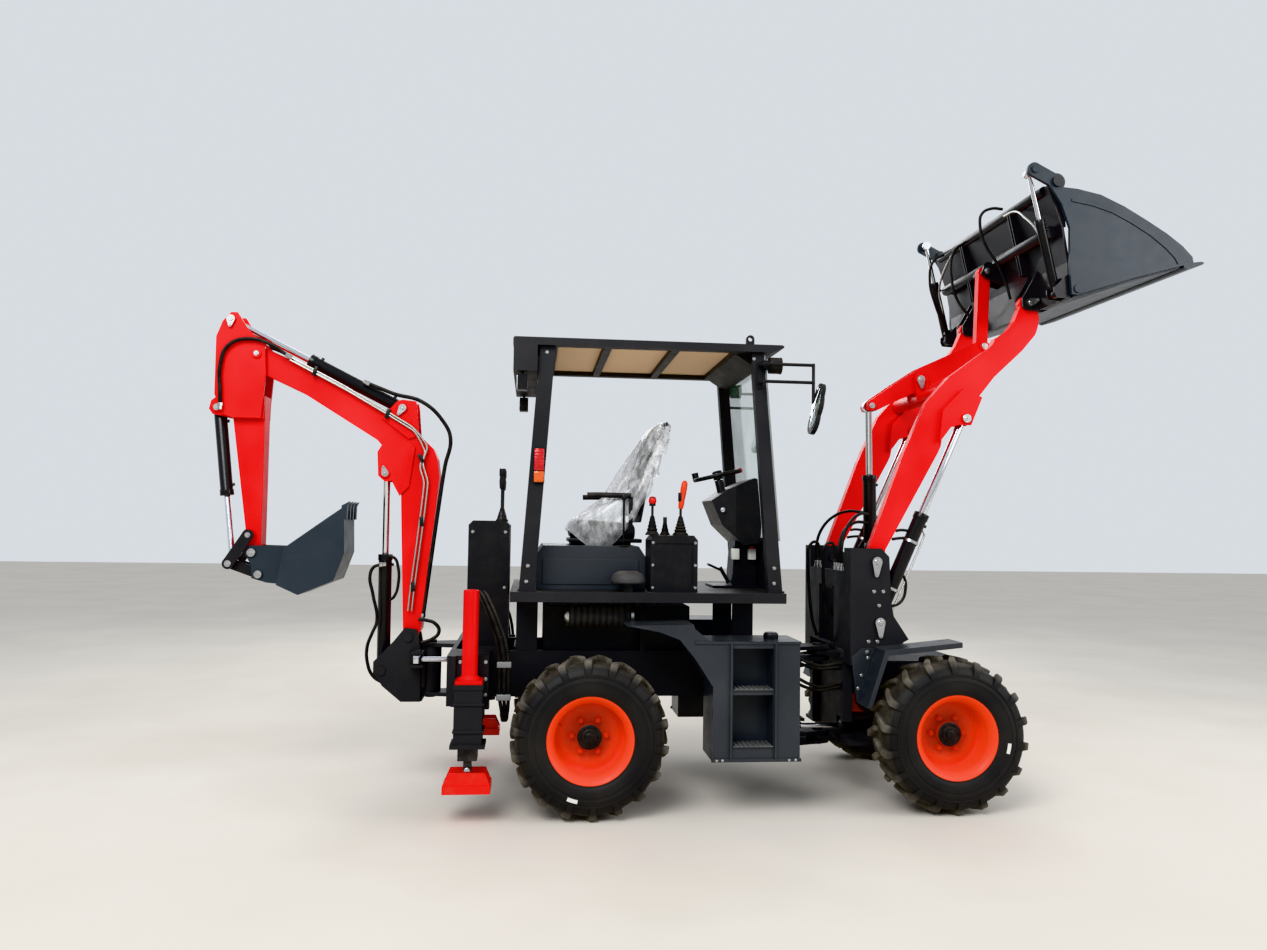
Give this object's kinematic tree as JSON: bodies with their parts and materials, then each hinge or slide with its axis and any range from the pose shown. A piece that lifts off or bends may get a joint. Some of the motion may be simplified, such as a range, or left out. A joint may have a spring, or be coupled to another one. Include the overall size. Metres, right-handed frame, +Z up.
{
  "type": "backhoe loader",
  "caption": "Compact articulated backhoe loader with an open canopy, a split loader bucket raised in front and a folded backhoe with two vertical stabilisers behind.",
  "frame": {"origin": "centre of the bounding box's base, on the ground between the wheels", "axes": "+X forward towards the loader bucket, +Y to the machine's left, +Z up"},
  "size_m": [5.657, 1.608, 3.6199],
  "materials": {
    "charcoal": "satin charcoal paint, dusty",
    "slate": "satin blue-grey paint",
    "red": "gloss red paint, scuffed",
    "jack_red": "gloss red paint",
    "rim_orange": "satin orange-red paint, dusty",
    "black": "satin black paint",
    "chrome": "polished rod",
    "tyre": "dusty rubber",
    "headliner": "satin tan ceiling panels",
    "glass": "clear safety glass",
    "vinyl": "black vinyl",
    "plastic": "moulded black plastic",
    "lamp": "clear and coloured lenses in black housings",
    "cast": "dark engine block"
  },
  "bodies": {
    "rear_frame": {"rear_chassis": "charcoal", "engine": "cast", "rear_axle": "charcoal", "stabiliser_guides": "charcoal", "jack_tubes": "jack_red", "deck": "charcoal", "canopy": "charcoal", "roof": "charcoal", "ceiling": "headliner", "windshield": "glass", "seat_hood": "slate", "seat": "vinyl", "control_stand": "charcoal", "console": "plastic", "hoe_console": "black", "air_cleaner": "plastic", "tanks": "slate", "lamps": "lamp", "mirrors": "black"},
    "steering_wheel": {"steering_wheel": "plastic"},
    "wheel_rr": {"tyre_rr": "tyre", "rim_rr": "rim_orange"},
    "wheel_rl": {"tyre_rl": "tyre", "rim_rl": "rim_orange"},
    "wheel_fr": {"tyre_fr": "tyre", "rim_fr": "rim_orange"},
    "wheel_fl": {"tyre_fl": "tyre", "rim_fl": "rim_orange"},
    "front_frame": {"front_chassis": "charcoal", "front_axle": "charcoal", "front_mudguards": "slate"},
    "arms": {"arms": "red"},
    "lift_barrels": {"lift_barrels": "black"},
    "lift_rods": {"lift_rods": "chrome"},
    "tilt_barrel": {"tilt_barrel": "black"},
    "tilt_rod": {"tilt_rod": "chrome"},
    "rocker": {"rocker": "red"},
    "tilt_link": {"tilt_link": "red"},
    "bucket_back": {"bucket_back": "slate"},
    "clam": {"clam": "slate"},
    "clam_barrels": {"clam_barrels": "black"},
    "clam_rods": {"clam_rods": "chrome"},
    "steer_barrel": {"steer_barrel": "black"},
    "steer_rod": {"steer_rod": "chrome"},
    "swing_post": {"swing_post": "charcoal"},
    "swing_barrel": {"swing_barrel": "black"},
    "swing_rod": {"swing_rod": "chrome"},
    "boom": {"boom": "red"},
    "boom_barrel": {"boom_barrel": "black"},
    "boom_rod": {"boom_rod": "chrome"},
    "dipper": {"dipper": "red"},
    "dipper_barrel": {"dipper_barrel": "black"},
    "dipper_rod": {"dipper_rod": "chrome"},
    "crowd_barrel": {"crowd_barrel": "black"},
    "crowd_rod": {"crowd_rod": "chrome"},
    "hoe_rocker": {"hoe_rocker": "charcoal"},
    "hoe_link": {"hoe_link": "charcoal"},
    "hoe_bucket": {"hoe_bucket": "charcoal"},
    "leg_r": {"leg_r": "jack_red"},
    "leg_l": {"leg_l": "jack_red"}
  },
  "joints": [
    {"name": "wheel_rr_spin", "type": "hinge", "parent": "rear_frame", "child": "wheel_rr", "pos_m": [-0.6265, -0.6265, 0.4225], "axis": [0, 1, 0], "continuous": true},
    {"name": "wheel_rl_spin", "type": "hinge", "parent": "rear_frame", "child": "wheel_rl", "pos_m": [-0.6265, 0.6265, 0.4225], "axis": [0, 1, 0], "continuous": true},
    {"name": "wheel_fr_spin", "type": "hinge", "parent": "front_frame", "child": "wheel_fr", "pos_m": [1.3655, -0.6265, 0.4225], "axis": [0, 1, 0], "continuous": true},
    {"name": "wheel_fl_spin", "type": "hinge", "parent": "front_frame", "child": "wheel_fl", "pos_m": [1.3655, 0.6265, 0.4225], "axis": [0, 1, 0], "continuous": true},
    {"name": "steering_wheel_turn", "type": "hinge", "parent": "rear_frame", "child": "steering_wheel", "pos_m": [0.1785, 0, 1.864], "axis": [-0.2334, 0, 0.9724], "continuous": true},
    {"name": "articulation", "type": "hinge", "parent": "rear_frame", "child": "front_frame", "pos_m": [0.8135, 0, 0.55], "axis": [0, 0, 1], "range_deg": [-30, 30]},
    {"name": "steer_barrel_pivot", "type": "hinge", "parent": "front_frame", "child": "steer_barrel", "pos_m": [1.2185, -0.215, 0.385], "axis": [0, 0, 1], "range_deg": [-10.28, 10.28]},
    {"name": "steer_rod_slide", "type": "slide", "parent": "steer_barrel", "child": "steer_rod", "axis": [-1, 0, 0], "range_m": [-0.1126, 0.1126]},
    {"name": "lift", "type": "hinge", "parent": "front_frame", "child": "arms", "pos_m": [1.0235, 0, 1.36], "axis": [0, 1, 0], "range_deg": [0, 102]},
    {"name": "lift_barrel_pivot", "type": "hinge", "parent": "front_frame", "child": "lift_barrels", "pos_m": [1.0415, 0, 1.013], "axis": [0, 1, 0], "range_deg": [-0.5, 89.32]},
    {"name": "lift_rod_slide", "type": "slide", "parent": "lift_barrels", "child": "lift_rods", "axis": [0.403, 0, 0.9152], "range_m": [-0.4988, 0.001]},
    {"name": "tilt_barrel_pivot", "type": "hinge", "parent": "front_frame", "child": "tilt_barrel", "pos_m": [1.1485, 0, 1.44], "axis": [0, 1, 0], "range_deg": [-0.5, 117.44]},
    {"name": "bucket_tilt", "type": "hinge", "parent": "arms", "child": "bucket_back", "pos_m": [1.9635, 0, 2.905], "axis": [0, -1, 0], "range_deg": [-30, 80]},
    {"name": "tilt_rod_slide", "type": "slide", "parent": "tilt_barrel", "child": "tilt_rod", "axis": [-0.0137, 0, 0.9999], "range_m": [-0.0555, 0.1462]},
    {"name": "rocker_pivot", "type": "hinge", "parent": "arms", "child": "rocker", "pos_m": [1.4425, 0, 2.485], "axis": [0, -1, 0], "range_deg": [-21.64, 8.43]},
    {"name": "tilt_link_pivot", "type": "hinge", "parent": "rocker", "child": "tilt_link", "pos_m": [1.8695, 0, 2.715], "axis": [0, -1, 0], "range_deg": [-24.98, 65.79]},
    {"name": "clam_open", "type": "hinge", "parent": "bucket_back", "child": "clam", "pos_m": [1.9475, 0, 3.516], "axis": [0, -1, 0], "range_deg": [0, 55]},
    {"name": "clam_barrel_pivot", "type": "hinge", "parent": "bucket_back", "child": "clam_barrels", "pos_m": [1.9735, 0, 2.894], "axis": [0, -1, 0], "range_deg": [-0.5, 4.12]},
    {"name": "clam_rod_slide", "type": "slide", "parent": "clam_barrels", "child": "clam_rods", "axis": [-0.2217, 0, 0.9751], "range_m": [-0.1291, 0.001]},
    {"name": "swing", "type": "hinge", "parent": "rear_frame", "child": "swing_post", "pos_m": [-1.5305, 0, 0.7], "axis": [0, 0, 1], "range_deg": [-60, 60]},
    {"name": "swing_barrel_pivot", "type": "hinge", "parent": "rear_frame", "child": "swing_barrel", "pos_m": [-0.9265, -0.15, 0.763], "axis": [0, 0, 1], "range_deg": [-5.46, 5.46]},
    {"name": "swing_rod_slide", "type": "slide", "parent": "swing_barrel", "child": "swing_rod", "axis": [-1, 0, 0], "range_m": [-0.142, 0.142]},
    {"name": "boom_lower", "type": "hinge", "parent": "swing_post", "child": "boom", "pos_m": [-1.6555, 0, 0.882], "axis": [0, -1, 0], "range_deg": [-3, 62]},
    {"name": "boom_barrel_pivot", "type": "hinge", "parent": "swing_post", "child": "boom_barrel", "pos_m": [-1.8065, 0, 0.689], "axis": [0, -1, 0], "range_deg": [-3.18, 55.83]},
    {"name": "boom_rod_slide", "type": "slide", "parent": "boom_barrel", "child": "boom_rod", "axis": [-0.007, 0, 1], "range_m": [-0.2246, 0.0118]},
    {"name": "dipper_out", "type": "hinge", "parent": "boom", "child": "dipper", "pos_m": [-2.5615, 0, 2.516], "axis": [0, 1, 0], "range_deg": [0, 100]},
    {"name": "dipper_barrel_pivot", "type": "hinge", "parent": "boom", "child": "dipper_barrel", "pos_m": [-1.7245, 0, 2.221], "axis": [0, 1, 0], "range_deg": [-0.5, 11.01]},
    {"name": "dipper_rod_slide", "type": "slide", "parent": "dipper_barrel", "child": "dipper_rod", "axis": [-0.8952, 0, 0.4458], "range_m": [-0.3457, 0.001]},
    {"name": "hoe_bucket_dump", "type": "hinge", "parent": "dipper", "child": "hoe_bucket", "pos_m": [-2.5565, 0, 1.362], "axis": [0, 1, 0], "range_deg": [0, 140]},
    {"name": "hoe_rocker_pivot", "type": "hinge", "parent": "dipper", "child": "hoe_rocker", "pos_m": [-2.5755, 0, 1.463], "axis": [0, 1, 0], "range_deg": [-0.5, 98.67]},
    {"name": "hoe_link_pivot", "type": "hinge", "parent": "hoe_rocker", "child": "hoe_link", "pos_m": [-2.6805, 0, 1.298], "axis": [0, 1, 0], "range_deg": [-40.61, 0.5]},
    {"name": "crowd_barrel_pivot", "type": "hinge", "parent": "dipper", "child": "crowd_barrel", "pos_m": [-2.7835, 0, 2.2], "axis": [0, 1, 0], "range_deg": [-0.5, 5.34]},
    {"name": "crowd_rod_slide", "type": "slide", "parent": "crowd_barrel", "child": "crowd_rod", "axis": [0.1135, 0, -0.9935], "range_m": [-0.2932, 0.001]},
    {"name": "leg_r_slide", "type": "slide", "parent": "rear_frame", "child": "leg_r", "axis": [0, 0, -1], "range_m": [0, 0.25]},
    {"name": "leg_l_slide", "type": "slide", "parent": "rear_frame", "child": "leg_l", "axis": [0, 0, -1], "range_m": [0, 0.25]}
  ],
  "couplings": [
    {"joint": "steer_barrel_pivot", "follows": "articulation", "ratio": -0.3261},
    {"joint": "steer_rod_slide", "follows": "articulation", "m_per_rad": 0.2132},
    {"joint": "lift_barrel_pivot", "follows": "lift", "ratio": 0.8708},
    {"joint": "lift_rod_slide", "follows": "lift", "m_per_rad": -0.2796},
    {"joint": "tilt_barrel_pivot", "follows": "lift", "ratio": 1.1465},
    {"joint": "tilt_rod_slide", "follows": "bucket_tilt", "m_per_rad": 0.104},
    {"joint": "rocker_pivot", "follows": "bucket_tilt", "ratio": -0.2643},
    {"joint": "tilt_link_pivot", "follows": "bucket_tilt", "ratio": 0.8161},
    {"joint": "clam_barrel_pivot", "follows": "clam_open", "ratio": 0.0659},
    {"joint": "clam_rod_slide", "follows": "clam_open", "m_per_rad": -0.1334},
    {"joint": "swing_barrel_pivot", "follows": "swing", "ratio": 0.0827},
    {"joint": "swing_rod_slide", "follows": "swing", "m_per_rad": -0.1346},
    {"joint": "boom_barrel_pivot", "follows": "boom_lower", "ratio": 0.8924},
    {"joint": "boom_rod_slide", "follows": "boom_lower", "m_per_rad": -0.2066},
    {"joint": "dipper_barrel_pivot", "follows": "dipper_out", "ratio": 0.1051},
    {"joint": "dipper_rod_slide", "follows": "dipper_out", "m_per_rad": -0.1975},
    {"joint": "hoe_rocker_pivot", "follows": "hoe_bucket_dump", "ratio": 0.7012},
    {"joint": "hoe_link_pivot", "follows": "hoe_bucket_dump", "ratio": -0.2865},
    {"joint": "crowd_barrel_pivot", "follows": "hoe_bucket_dump", "ratio": 0.0346},
    {"joint": "crowd_rod_slide", "follows": "hoe_bucket_dump", "m_per_rad": -0.1196}
  ]
}
